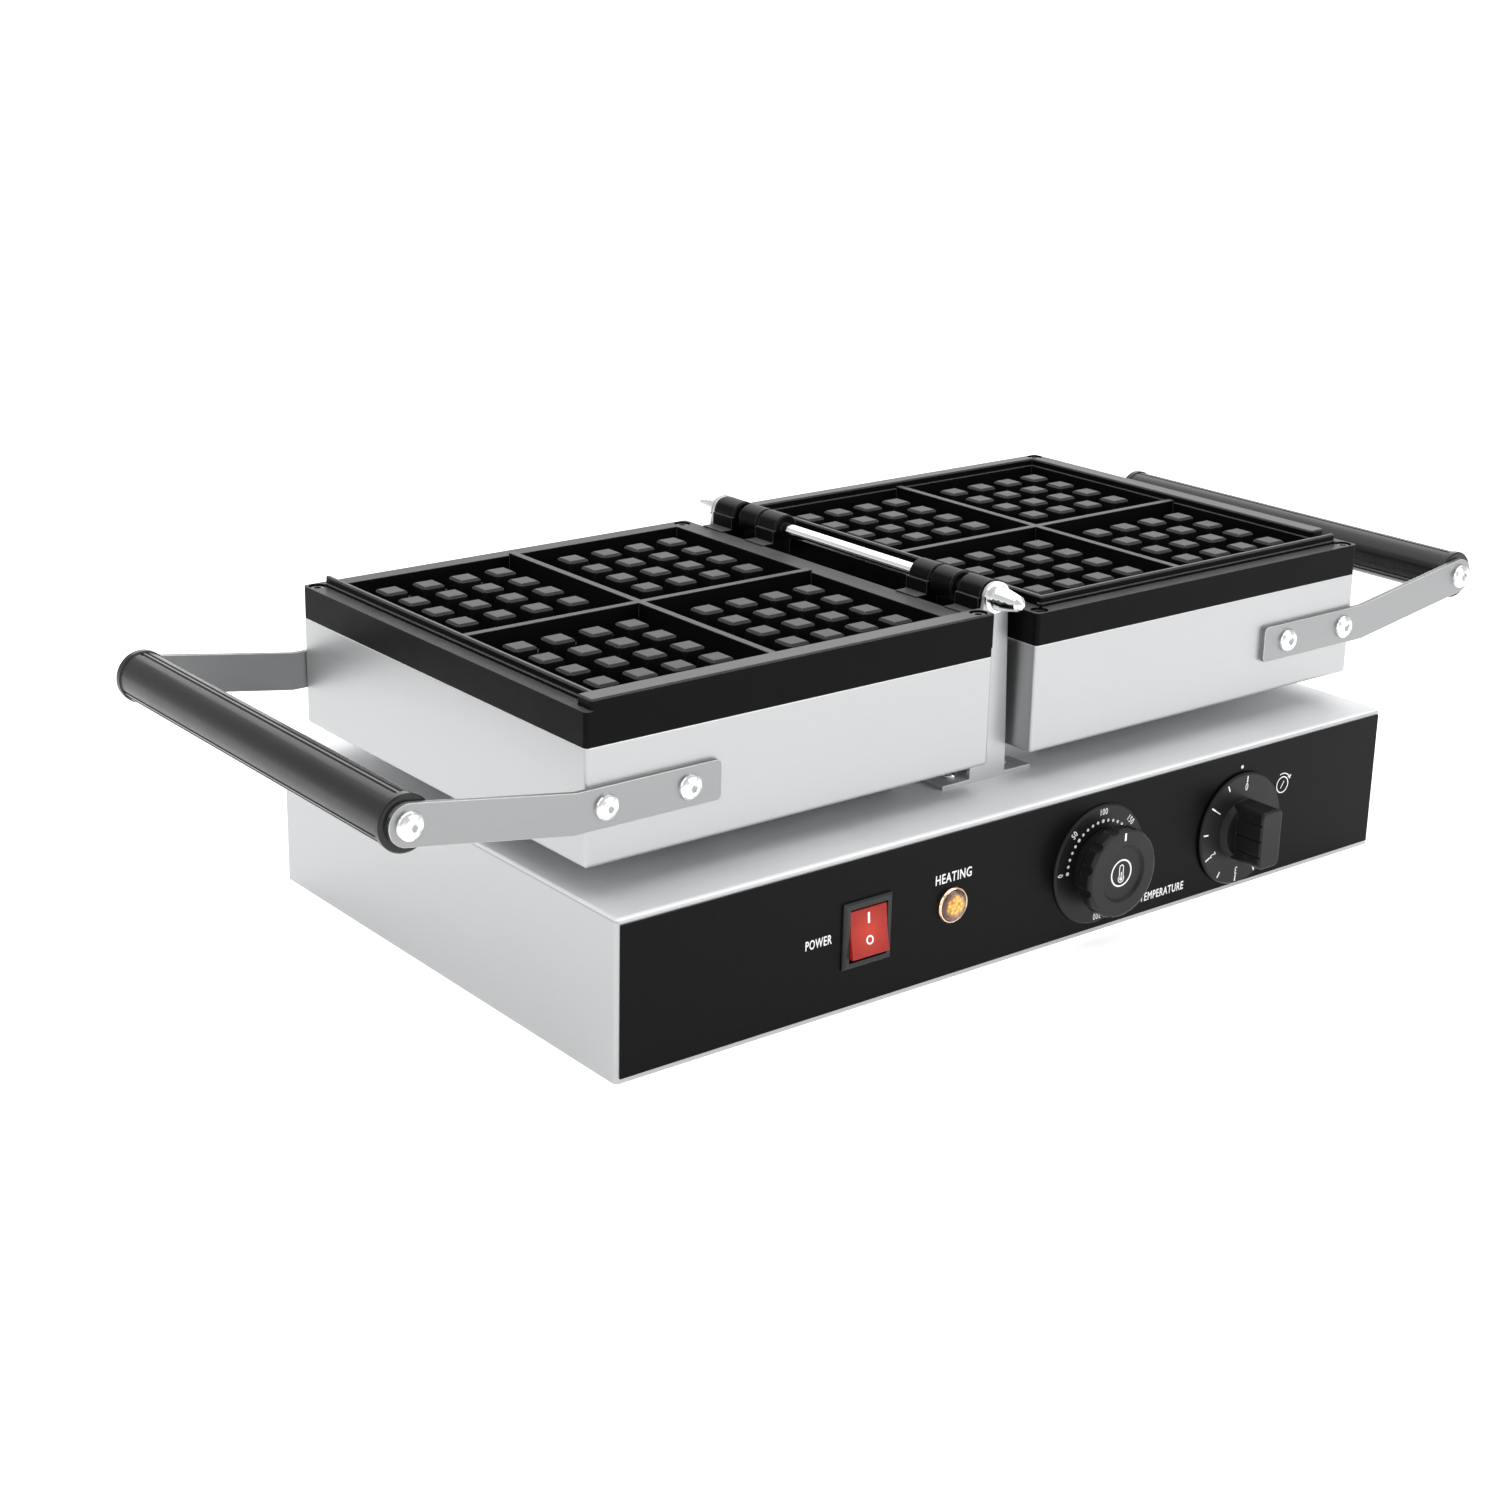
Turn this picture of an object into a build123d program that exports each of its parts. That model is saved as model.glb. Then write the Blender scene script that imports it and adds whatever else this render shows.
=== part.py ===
from build123d import *
import math
import os

# Double waffle maker for a counter: a stainless base box with the controls, and two heads side by side.
# Each head is a steel tray under a black cast plate, and both heads turn about one rod over the middle
# of the base. Millimetres. +X runs to the right along the front, +Y to the back, +Z up.
# The origin is on the table under the middle of the base.

# ---------------------------------------------------------------- driving dimensions
BASE_WIDTH = 585.0
BASE_DEPTH = 340.0
TOTAL_HEIGHT = 210.0
FOOT_HEIGHT = 3.0
BASE_TOP = 93.0
SHEET = 1.2
FOLD_RADIUS = 2.5
PANEL_THICK = 1.0

HEAD_INNER = 16.5
HEAD_OUTER = 291.0
HEAD_HALF_DEPTH = 141.5
SHELL_BOTTOM = 110.0
PLATE_BOTTOM = 173.5
LEDGE_TOP = 192.5
RIM_TOP = 197.0
BAND_TOP = 198.5

KNUCKLE_RADIUS = 9.0
ROD_RADIUS = 4.0
RUNNING_GAP = 0.06
HINGE_HEIGHT = TOTAL_HEIGHT - KNUCKLE_RADIUS

ARM_THICK = 3.0
ARM_HALF = 11.0
ARM_HEIGHT = 142.0
GRIP_X = 394.0
GRIP_HEIGHT = 157.0
GRIP_RADIUS = 14.2

CONTROL_REACH = 27.0
SWITCH_X = -129.0
SWITCH_Z = 47.4
LAMP_X = -67.4
LAMP_Z = 48.0
THERMOSTAT_X = 46.5
THERMOSTAT_Z = 46.0
TIMER_X = 165.5
TIMER_Z = 42.0
DIAL_RADIUS = 36.0

# ---------------------------------------------------------------- places worked out from them
FRONT = -BASE_DEPTH / 2
BACK = BASE_DEPTH / 2
PANEL_FRONT = FRONT - PANEL_THICK
FLOOR_BOTTOM = FOOT_HEIGHT + SHEET
FLOOR_TOP = FLOOR_BOTTOM + SHEET
CONTROL_FRONT = FRONT - CONTROL_REACH
WALL_INSIDE = FRONT + SHEET
HEAD_FRONT = -HEAD_HALF_DEPTH
HEAD_BACK = HEAD_HALF_DEPTH
SHAFT_RADIUS = 3.0
SIDES = {"left": -1, "right": 1}

os.makedirs("parts", exist_ok=True)


# ---------------------------------------------------------------- shape helpers
def block(x0, x1, y0, y1, z0, z1):
    """A box between two corners, given in any order."""
    centre = Pos((x0 + x1) / 2, (y0 + y1) / 2, (z0 + z1) / 2)
    return centre * Box(abs(x1 - x0), abs(y1 - y0), abs(z1 - z0))


def upright(x, y, z0, z1, radius):
    """A cylinder along Z."""
    return Pos(x, y, (z0 + z1) / 2) * Cylinder(radius, abs(z1 - z0))


def along_y(x, y0, y1, z, radius):
    """A cylinder along Y."""
    return Pos(x, (y0 + y1) / 2, z) * Rot(90, 0, 0) * Cylinder(radius, abs(y1 - y0))


def profile_y(sketch, y0, y1):
    """Extrudes a sketch, drawn with X right and Z up, from y0 to y1."""
    plane = Plane(origin=(0, max(y0, y1), 0), x_dir=(1, 0, 0), z_dir=(0, -1, 0))
    return extrude(plane * sketch, amount=abs(y1 - y0))


def profile_x(sketch, x0, x1):
    """Extrudes a sketch, drawn with Y right and Z up, from x0 to x1."""
    plane = Plane(origin=(min(x0, x1), 0, 0), x_dir=(0, 1, 0), z_dir=(1, 0, 0))
    return extrude(plane * sketch, amount=abs(x1 - x0))


def turned(points, x, y, z, front):
    """A turned piece along Y. Points are (radius, distance); distance runs to the front or the back."""
    outline = Polyline(*[(radius, distance) for radius, distance in points], close=True)
    solid = revolve(make_face(Plane.XY * outline), Axis.Y)
    tilt = Rot(0, 0, 180) if front else Rot(0, 0, 0)
    return Pos(x, y, z) * tilt * solid


def hex_prism_z(x, y, z0, z1, across_flats, hole):
    """A hexagonal nut with its hole along Z."""
    nut = extrude(RegularPolygon(across_flats / 2, 6, major_radius=False), amount=z1 - z0)
    return Pos(x, y, z0) * nut - upright(x, y, z0, z1, hole)


def save(name, shape):
    """Writes one sub-part. A group of separate pieces is written as one compound."""
    if isinstance(shape, (list, tuple)):
        shape = Compound(children=[piece for piece in shape])
    shape.label = name
    export_step(shape, "parts/" + name + ".step")


# ---------------------------------------------------------------- base box
FOOT_INSET_X = 40.0
FOOT_INSET_Y = 35.0
LIP = 14.0
GLAND_X = -215.0
GLAND_Z = 40.0
GLAND_HOLE = 8.2
FOOT_PLACES = []
for sx in (-1, 1):
    for sy in (-1, 1):
        FOOT_PLACES.append((sx * (BASE_WIDTH / 2 - FOOT_INSET_X), sy * (BACK - FOOT_INSET_Y)))
LIP_SCREWS = []
for sx in (-1, 0, 1):
    for sy in (-1, 1):
        LIP_SCREWS.append((sx * 240.0, sy * (BACK - LIP / 2 - 0.6)))

SWITCH_HOLE_W = 30.4
SWITCH_HOLE_H = 34.4
LAMP_BODY_RADIUS = 7.0
LAMP_RING_RADIUS = 10.4
LENS_RADIUS = 9.0
BUSH_RADIUS = 5.0
BRACKET_Y = 122.0
BRACKET_THICK = 2.5
FOOT_FLANGE = 15.0
FOOT_HALF = 34.0
BRACKET_SCREWS = []
for sy in (-1, 1):
    for sx in (-1, 1):
        BRACKET_SCREWS.append((sx * 19.5, sy * (BRACKET_Y - 8.0)))


def front_openings(y0, y1):
    """The cut-outs that the front wall and the front panel share."""
    switch = block(
        SWITCH_X - SWITCH_HOLE_W / 2,
        SWITCH_X + SWITCH_HOLE_W / 2,
        y0,
        y1,
        SWITCH_Z - SWITCH_HOLE_H / 2,
        SWITCH_Z + SWITCH_HOLE_H / 2,
    )
    lamp = along_y(LAMP_X, y0, y1, LAMP_Z, LAMP_BODY_RADIUS + 0.1)
    thermostat = along_y(THERMOSTAT_X, y0, y1, THERMOSTAT_Z, BUSH_RADIUS + 0.1)
    timer = along_y(TIMER_X, y0, y1, TIMER_Z, BUSH_RADIUS + 0.1)
    return switch + lamp + thermostat + timer


def make_base_housing():
    """Folded stainless box, open below, with a lip turned in all round for the bottom plate."""
    half = BASE_WIDTH / 2
    outer = block(-half, half, FRONT, BACK, FOOT_HEIGHT, BASE_TOP)
    upright_edges = outer.edges().filter_by(Axis.Z)
    top_edges = outer.faces().sort_by(Axis.Z)[-1].edges()
    outer = fillet(upright_edges + top_edges, FOLD_RADIUS)
    inner = block(
        -half + SHEET, half - SHEET, FRONT + SHEET, BACK - SHEET, FOOT_HEIGHT + SHEET, BASE_TOP - SHEET
    )
    mouth = block(-half + LIP, half - LIP, FRONT + LIP, BACK - LIP, FOOT_HEIGHT - 1, FOOT_HEIGHT + 2)
    box = outer - inner - mouth
    box -= front_openings(FRONT - 1, FRONT + 2)
    box -= along_y(GLAND_X, BACK - 2, BACK + 1, GLAND_Z, GLAND_HOLE)
    for x, y in BRACKET_SCREWS:
        box -= upright(x, y, BASE_TOP - 2, BASE_TOP + 1, 2.2)
    for x, y in LIP_SCREWS:
        box -= upright(x, y, FOOT_HEIGHT - 1, FOOT_HEIGHT + 2, 1.7)
    vent_count = 9
    vent_pitch = 9.0
    for group_x in (-90.0, 90.0):
        for index in range(vent_count):
            x = group_x + (index - (vent_count - 1) / 2) * vent_pitch
            vent = Pos(x, BACK - SHEET / 2, 52.0) * Rot(90, 0, 0) * extrude(
                Rot(0, 0, 90) * SlotOverall(36.0, 3.6), amount=2.0, both=True
            )
            box -= vent
    return box


def make_front_panel():
    """Black overlay on the front of the base, a little smaller than the folded face."""
    margin = 1.5
    half = BASE_WIDTH / 2 - margin - 1.0
    panel = block(-half, half, PANEL_FRONT, FRONT, FOOT_HEIGHT + 3.0, BASE_TOP - 3.4)
    return panel - front_openings(PANEL_FRONT - 1, FRONT + 1)


def make_bottom_plate():
    """Flat steel floor that lies on the lip inside the box, with slots for air."""
    gap = SHEET + 0.4
    half = BASE_WIDTH / 2 - gap
    top = FLOOR_TOP
    plate = block(-half, half, FRONT + gap, BACK - gap, FLOOR_BOTTOM, top)
    for x, y in LIP_SCREWS:
        plate -= upright(x, y, 0, top + 1, 1.7)
    for x, y in FOOT_PLACES:
        plate -= upright(x, y, 0, top + 1, 2.2)
    slots = 7
    for index in range(slots):
        x = (index - (slots - 1) / 2) * 16.0
        plate -= Pos(x, 40, top - 3) * extrude(Rot(0, 0, 90) * SlotOverall(60.0, 5.0), amount=4)
    return plate


def make_feet():
    """Four low rubber feet under the bottom plate."""
    feet = []
    for x, y in FOOT_PLACES:
        foot = upright(x, y, 0, FLOOR_BOTTOM, 12.0)
        foot = chamfer(foot.edges().group_by(Axis.Z)[0], 0.8)
        foot -= upright(x, y, 1.4, FLOOR_BOTTOM, 5.0)
        feet.append(foot)
    return feet


def make_foot_screws():
    """One pan-head screw through each foot into the bottom plate."""
    screws = []
    for x, y in FOOT_PLACES:
        screws.append(upright(x, y, 1.6, 4.0, 4.2) + upright(x, y, 1.6, 11.0, 2.1))
    return screws


def make_foot_nuts():
    """A hexagon nut on each foot screw, on the inside of the bottom plate."""
    return [hex_prism_z(x, y, FLOOR_TOP, FLOOR_TOP + 3.2, 7.0, 2.15) for x, y in FOOT_PLACES]


def make_bottom_screws():
    """Small screws that hold the lip of the box to the bottom plate."""
    screws = []
    for x, y in LIP_SCREWS:
        screws.append(upright(x, y, FOOT_HEIGHT - 1.4, FOOT_HEIGHT, 3.0) + upright(x, y, 1.6, 9.0, 1.6))
    return screws


def make_cable_gland():
    """Black gland in the back wall: seat, hexagon and domed clamping nut, with the cable's bore."""
    reach = CONTROL_REACH
    outline = [
        (0, -12.0),
        (8.0, -12.0),
        (8.0, 0.0),
        (12.5, 0.0),
        (12.5, 2.0),
        (11.5, 2.0),
        (11.5, 12.0),
        (10.5, 18.0),
        (8.0, reach - 2.0),
        (6.5, reach),
        (0, reach),
    ]
    gland = turned(outline, GLAND_X, BACK, GLAND_Z, front=False)
    hexagon = Plane(origin=(GLAND_X, BACK + 2.0, GLAND_Z), x_dir=(1, 0, 0), z_dir=(0, 1, 0))
    gland += extrude(hexagon * RegularPolygon(12.4, 6, major_radius=False), amount=6.0)
    return gland - along_y(GLAND_X, BACK - 13, BACK + reach + 1, GLAND_Z, 4.2)


def make_gland_nut():
    """Locking nut of the gland, inside the back wall."""
    plane = Plane(origin=(GLAND_X, BACK - SHEET - 5.0, GLAND_Z), x_dir=(1, 0, 0), z_dir=(0, 1, 0))
    nut = extrude(plane * RegularPolygon(12.0, 6, major_radius=False), amount=5.0)
    return nut - along_y(GLAND_X, BACK - 10, BACK, GLAND_Z, 8.15)


# ---------------------------------------------------------------- controls
BEZEL_W = 33.6
BEZEL_H = 38.0
BEZEL_REACH = 2.4
ROCKER_W = 25.6
ROCKER_HALF_H = 14.0
ROCKER_TILT = 8.0
ROCKER_PIVOT_Y = FRONT + 1.0


def make_switch_body():
    """Rocker switch: bezel on the panel, body through the wall, and the well that the rocker tips in."""
    bezel = Pos(SWITCH_X, 0, SWITCH_Z) * block(
        -BEZEL_W / 2, BEZEL_W / 2, PANEL_FRONT - BEZEL_REACH, PANEL_FRONT, -BEZEL_H / 2, BEZEL_H / 2
    )
    bezel = chamfer(bezel.faces().sort_by(Axis.Y)[0].edges(), 1.2)
    body = Pos(SWITCH_X, 0, SWITCH_Z) * block(-15.0, 15.0, PANEL_FRONT, FRONT + 27.0, -17.0, 17.0)
    well = Pos(SWITCH_X, 0, SWITCH_Z) * block(
        -13.2, 13.2, PANEL_FRONT - 4, FRONT + 9.0, -15.4, 15.4
    )
    terminals = []
    for x in (-8.0, 8.0):
        for z in (-9.0, 0.0, 9.0):
            terminals.append(
                block(
                    SWITCH_X + x - 3.2, SWITCH_X + x + 3.2, FRONT + 27.0, FRONT + 36.0,
                    SWITCH_Z + z - 0.4, SWITCH_Z + z + 0.4,
                )
            )
    return [bezel + body - well] + terminals


def make_power_rocker():
    """Translucent rocker in its ON position: the upper half is pressed in, the lower half stands out."""
    outline = Polyline(
        (-5.6, ROCKER_HALF_H),
        (-4.7, 0.0),
        (-5.6, -ROCKER_HALF_H),
        (3.0, -ROCKER_HALF_H + 3.5),
        (5.0, -5.0),
        (5.0, 5.0),
        (3.0, ROCKER_HALF_H - 3.5),
        close=True,
    )
    rocker = profile_x(make_face(outline), -ROCKER_W / 2, ROCKER_W / 2)
    rocker = fillet(rocker.faces().sort_by(Axis.Z)[0].edges().sort_by(Axis.Y)[0:1], 0.8)
    rocker = fillet(rocker.faces().sort_by(Axis.Z)[-1].edges().sort_by(Axis.Y)[0:1], 0.8)
    return Pos(SWITCH_X, ROCKER_PIVOT_Y, SWITCH_Z) * Rot(-ROCKER_TILT, 0, 0) * rocker


def make_lamp_bezel():
    """Chrome ring of the indicator lamp."""
    outline = [
        (LAMP_BODY_RADIUS - 0.9, -3.0),
        (LAMP_BODY_RADIUS, -3.0),
        (LAMP_BODY_RADIUS, 0.0),
        (LAMP_RING_RADIUS, 0.0),
        (LAMP_RING_RADIUS, 1.6),
        (LAMP_RING_RADIUS - 0.4, 2.4),
        (LENS_RADIUS + 0.5, 2.7),
        (LENS_RADIUS + 0.15, 2.4),
        (LENS_RADIUS + 0.15, 0.6),
        (LAMP_BODY_RADIUS - 0.9, 0.6),
    ]
    return turned(outline, LAMP_X, PANEL_FRONT, LAMP_Z, front=True)


def make_lamp_lens():
    """Amber lens of the indicator lamp, domed in front."""
    rim_height = 2.0
    dome_height = 2.6
    outline = [(0, -2.0), (6.0, -2.0), (6.0, 0.6), (LENS_RADIUS, 0.6), (LENS_RADIUS, rim_height)]
    dome_steps = 6
    for step in range(1, dome_steps + 1):
        angle = math.radians(90 * step / dome_steps)
        outline.append((LENS_RADIUS * math.cos(angle), rim_height + dome_height * math.sin(angle)))
    return turned(outline, LAMP_X, PANEL_FRONT, LAMP_Z, front=True)


def make_lamp_body():
    """Lamp holder behind the panel, with its two tags."""
    holder = along_y(LAMP_X, PANEL_FRONT + 3.0, FRONT + 24.0, LAMP_Z, LAMP_BODY_RADIUS)
    flange = along_y(LAMP_X, WALL_INSIDE, WALL_INSIDE + 3.0, LAMP_Z, 9.6)
    flange -= along_y(LAMP_X, PANEL_FRONT, PANEL_FRONT + 3.0, LAMP_Z, LAMP_BODY_RADIUS + 0.05)
    tags = []
    for x in (-3.5, 3.5):
        tags.append(
            block(LAMP_X + x - 0.4, LAMP_X + x + 0.4, FRONT + 24.0, FRONT + 33.0, LAMP_Z - 3, LAMP_Z + 3)
        )
    return [holder + flange] + tags


def make_thermostat_dial():
    """Fixed dial ring of the thermostat, on the panel round the knob."""
    outline = [(8.0, 0.0), (DIAL_RADIUS, 0.0), (DIAL_RADIUS, 1.0), (DIAL_RADIUS - 1.0, 2.0), (8.0, 2.0)]
    return turned(outline, THERMOSTAT_X, PANEL_FRONT, THERMOSTAT_Z, front=True)


def make_thermostat_body():
    """Capillary thermostat behind the front wall, with the bush that its shaft turns in."""
    body = block(
        THERMOSTAT_X - 21, THERMOSTAT_X + 21, WALL_INSIDE, WALL_INSIDE + 34,
        THERMOSTAT_Z - 19, THERMOSTAT_Z + 19,
    )
    bush = along_y(THERMOSTAT_X, PANEL_FRONT - 1.5, WALL_INSIDE, THERMOSTAT_Z, BUSH_RADIUS)
    bore = along_y(
        THERMOSTAT_X, PANEL_FRONT - 3, WALL_INSIDE + 12, THERMOSTAT_Z, SHAFT_RADIUS + RUNNING_GAP
    )
    return body + bush - bore


def make_timer_body():
    """Wind-up timer behind the front wall, with the bush that its shaft turns in."""
    body = block(
        TIMER_X - 25, TIMER_X + 25, WALL_INSIDE, WALL_INSIDE + 30, TIMER_Z - 24, TIMER_Z + 24
    )
    body = fillet(body.edges().filter_by(Axis.Y), 5.0)
    bush = along_y(TIMER_X, PANEL_FRONT, WALL_INSIDE, TIMER_Z, BUSH_RADIUS)
    bore = along_y(TIMER_X, PANEL_FRONT - 1, WALL_INSIDE + 12, TIMER_Z, SHAFT_RADIUS + RUNNING_GAP)
    return body + bush - bore


def make_shaft(x, z):
    """Round steel shaft from inside a control out into its knob."""
    return along_y(x, FRONT - 15.0, WALL_INSIDE + 10.0, z, SHAFT_RADIUS)


def make_thermostat_knob():
    """Round scalloped knob that widens towards its dished front."""
    back = 2.4
    front = 20.0
    neck = 21.5
    grip = 26.8
    outline = [(0, back), (neck, back), (neck, back + 4.0), (grip - 2.0, back + 7.0), (grip, back + 9.5)]
    outline += [(grip, front - 2.0), (grip - 0.6, front - 0.6), (grip - 2.0, front)]
    outline += [(17.2, front), (15.4, front - 1.6), (0, front - 1.6)]
    knob = turned(outline, THERMOSTAT_X, PANEL_FRONT, THERMOSTAT_Z, front=True)
    flutes = 12
    flute_radius = 5.0
    flute_circle = grip + 4.0
    for index in range(flutes):
        angle = math.radians(360.0 * (index + 0.5) / flutes)
        x = THERMOSTAT_X + flute_circle * math.cos(angle)
        z = THERMOSTAT_Z + flute_circle * math.sin(angle)
        knob -= along_y(x, PANEL_FRONT - back - 4.0, PANEL_FRONT - front - 1, z, flute_radius)
    return knob - along_y(
        THERMOSTAT_X, PANEL_FRONT, FRONT - 15.1, THERMOSTAT_Z, SHAFT_RADIUS + 0.02
    )


def make_timer_knob():
    """Flat numbered skirt with a hub and a ribbed bar to turn it by."""
    reach = -CONTROL_FRONT + PANEL_FRONT
    outline = [(0, 0.8), (35.0, 0.8), (35.0, 1.8), (34.0, 3.0), (18.5, 3.0), (16.5, 6.5), (0, 6.5)]
    skirt = turned(outline, TIMER_X, PANEL_FRONT, TIMER_Z, front=True)
    bar = block(-9.0, 9.0, PANEL_FRONT - 3.0, CONTROL_FRONT, -18.0, 18.0)
    bar = fillet(bar.edges().filter_by(Axis.Y), 4.0)
    bar = fillet(bar.faces().sort_by(Axis.Y)[0].edges(), 1.5)
    for side in (-1, 1):
        for z in (-10.0, 0.0, 10.0):
            groove = block(side * 8.3, side * 10.0, PANEL_FRONT - 7.0, CONTROL_FRONT - 1, z - 0.7, z + 0.7)
            bar -= groove
    knob = skirt + Pos(TIMER_X, 0, TIMER_Z) * bar
    return knob - along_y(TIMER_X, PANEL_FRONT, FRONT - 15.1, TIMER_Z, SHAFT_RADIUS + 0.02)


def make_terminal_block():
    """Mains terminal block on the bottom plate, beside the gland."""
    x0 = GLAND_X - 32.0
    x1 = GLAND_X + 32.0
    step = FLOOR_TOP + 12.0
    top = FLOOR_TOP + 20.0
    body = block(x0, x1, 92.0, 114.0, FLOOR_TOP, top)
    body -= block(x0 - 1, x1 + 1, 90.0, 95.0, step, top + 1)
    body -= block(x0 - 1, x1 + 1, 111.0, 116.0, step, top + 1)
    for index in range(6):
        x = x0 + 7.0 + index * 10.0
        for y in (99.0, 107.0):
            body -= upright(x, y, step + 2.0, top + 1, 2.4)
    return body


# ---------------------------------------------------------------- hinge on the base
REST_HALF = 56.0
REST_INNER_Y = 92.0
REST_OUTER_Y = 106.0
REST_GAP = 0.3
NUT_TIP = 146.0
WASHER_THICK = 1.6


def make_bracket(side):
    """Upright that carries one end of the hinge rod; side is -1 at the front and 1 at the back."""
    top_half = 9.8
    bottom_half = 13.5
    outline = Polyline(
        (-bottom_half, BASE_TOP),
        (bottom_half, BASE_TOP),
        (bottom_half, BASE_TOP + 12.0),
        (top_half, HINGE_HEIGHT - 8.0),
        (KNUCKLE_RADIUS - 0.4, HINGE_HEIGHT),
        (-KNUCKLE_RADIUS + 0.4, HINGE_HEIGHT),
        (-top_half, HINGE_HEIGHT - 8.0),
        (-bottom_half, BASE_TOP + 12.0),
        close=True,
    )
    sketch = make_face(outline) + Pos(0, HINGE_HEIGHT) * Circle(KNUCKLE_RADIUS - 0.4)
    inner = side * BRACKET_Y
    outer = side * (BRACKET_Y + BRACKET_THICK)
    toe = side * (BRACKET_Y - FOOT_FLANGE)
    bracket = profile_y(sketch, inner, outer)
    bracket += block(-FOOT_HALF, FOOT_HALF, outer, toe, BASE_TOP, BASE_TOP + BRACKET_THICK)
    bracket -= along_y(0, inner - side, outer + side, HINGE_HEIGHT, ROD_RADIUS + 0.05)
    for x, y in BRACKET_SCREWS:
        if y * side > 0:
            bracket -= upright(x, y, BASE_TOP - 1, BASE_TOP + 4, 2.2)
    return bracket


def make_bracket_screws():
    """Button-head screws that hold the two brackets to the base top."""
    screws = []
    top = BASE_TOP + BRACKET_THICK
    for x, y in BRACKET_SCREWS:
        head = upright(x, y, top, top + 2.4, 4.2)
        head = fillet(head.edges().sort_by(Axis.Z)[-1], 1.4)
        head -= Pos(x, y, top + 0.9) * extrude(RegularPolygon(1.5, 6), amount=3)
        screws.append(head + upright(x, y, BASE_TOP - 7.0, top, 2.1))
    return screws


def make_bracket_nuts():
    """Nuts of the bracket screws, under the base top."""
    top = BASE_TOP - SHEET
    return [hex_prism_z(x, y, top - 3.2, top, 7.0, 2.15) for x, y in BRACKET_SCREWS]


def make_rest_bar(side):
    """Steel channel across the base top that both open heads lie on, just inside a bracket."""
    wall = 1.5
    top = SHELL_BOTTOM - REST_GAP
    near = side * REST_INNER_Y
    far = side * REST_OUTER_Y
    outer = block(-REST_HALF, REST_HALF, near, far, BASE_TOP, top)
    inner = block(
        -REST_HALF - 1, REST_HALF + 1, near + side * wall, far - side * wall, BASE_TOP - 1, top - wall
    )
    return outer - inner


def make_hinge_rod():
    """Bright rod that both heads turn on."""
    return along_y(0, -NUT_TIP + 8.0, NUT_TIP - 8.0, HINGE_HEIGHT, ROD_RADIUS)


def make_hinge_washers():
    """A round washer outside each bracket."""
    washers = []
    for side in (-1, 1):
        y0 = side * (BRACKET_Y + BRACKET_THICK)
        y1 = y0 + side * WASHER_THICK
        ring = along_y(0, y0, y1, HINGE_HEIGHT, KNUCKLE_RADIUS)
        washers.append(ring - along_y(0, y0 - side, y1 + side, HINGE_HEIGHT, ROD_RADIUS + 0.05))
    return washers


def make_cap_nuts():
    """A long domed cap nut on each end of the rod."""
    nuts = []
    length = NUT_TIP - BRACKET_Y - BRACKET_THICK - WASHER_THICK
    outline = [
        (0, 0),
        (7.2, 0),
        (7.2, 1.6),
        (6.6, 2.4),
        (6.3, 7.0),
        (5.6, 11.0),
        (4.4, length - 3.0),
        (2.8, length - 0.9),
        (1.4, length),
        (0, length),
    ]
    for side in (-1, 1):
        seat = side * (BRACKET_Y + BRACKET_THICK + WASHER_THICK)
        nut = turned(outline, 0, seat, HINGE_HEIGHT, front=side < 0)
        nuts.append(nut - along_y(0, seat - side, side * (NUT_TIP - 7.9), HINGE_HEIGHT, ROD_RADIUS + 0.02))
    return nuts


# ---------------------------------------------------------------- heads
PEGS = 4
FIELD_W = 121.0
FIELD_D = 127.5
FIELD_FLOOR = 178.5
PEG_TOP = 192.5
PEG_PITCH_X = 24.6
PEG_PITCH_Y = 25.0
PEG_FOOT = 17.6
PEG_HEAD = 13.8
PEG_CORNER = 1.8
PEG_BEVEL = 1.3
RIB = 4.5
RIB_TOP = 194.0
RAIL = 3.2
FIELD_CENTRE_X = 154.5
FIELD_CENTRE_Y = 1.0
SCREW_X_OUTER = 284.8
SCREW_X_INNER = 23.5
SCREW_Y = 135.5
KNUCKLE_BEVEL = 0.8
OUTER_KNUCKLE = (102.0, 121.0)
MIDDLE_KNUCKLE = (79.5, 97.0)
INNER_KNUCKLE = (61.0, 78.5)


def make_peg():
    """One sloped square peg with rounded corners and a broad bevel round its top."""
    height = PEG_TOP - FIELD_FLOOR + 0.5
    slope = math.degrees(math.atan((PEG_FOOT - PEG_HEAD) / 2 / height))
    peg = extrude(Rectangle(PEG_FOOT, PEG_FOOT), amount=height, taper=slope)
    peg = chamfer(peg.faces().sort_by(Axis.Z)[-1].edges(), PEG_BEVEL)
    corners = [edge for edge in peg.edges() if edge.length > height / 2 and abs((edge % 0.5).Z) > 0.7]
    return Pos(0, 0, FIELD_FLOOR - 0.5) * fillet(corners, PEG_CORNER)


def make_peg_field():
    """Four by four pegs on a thin floor, centred on the origin in X and Y."""
    field = block(-FIELD_W / 2, FIELD_W / 2, -FIELD_D / 2, FIELD_D / 2, FIELD_FLOOR - 2, FIELD_FLOOR)
    peg = make_peg()
    pegs = []
    for column in range(PEGS):
        for row in range(PEGS):
            x = (column - (PEGS - 1) / 2) * PEG_PITCH_X
            y = (row - (PEGS - 1) / 2) * PEG_PITCH_Y
            pegs.append(Pos(x, y, 0) * peg)
    return field + pegs


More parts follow.
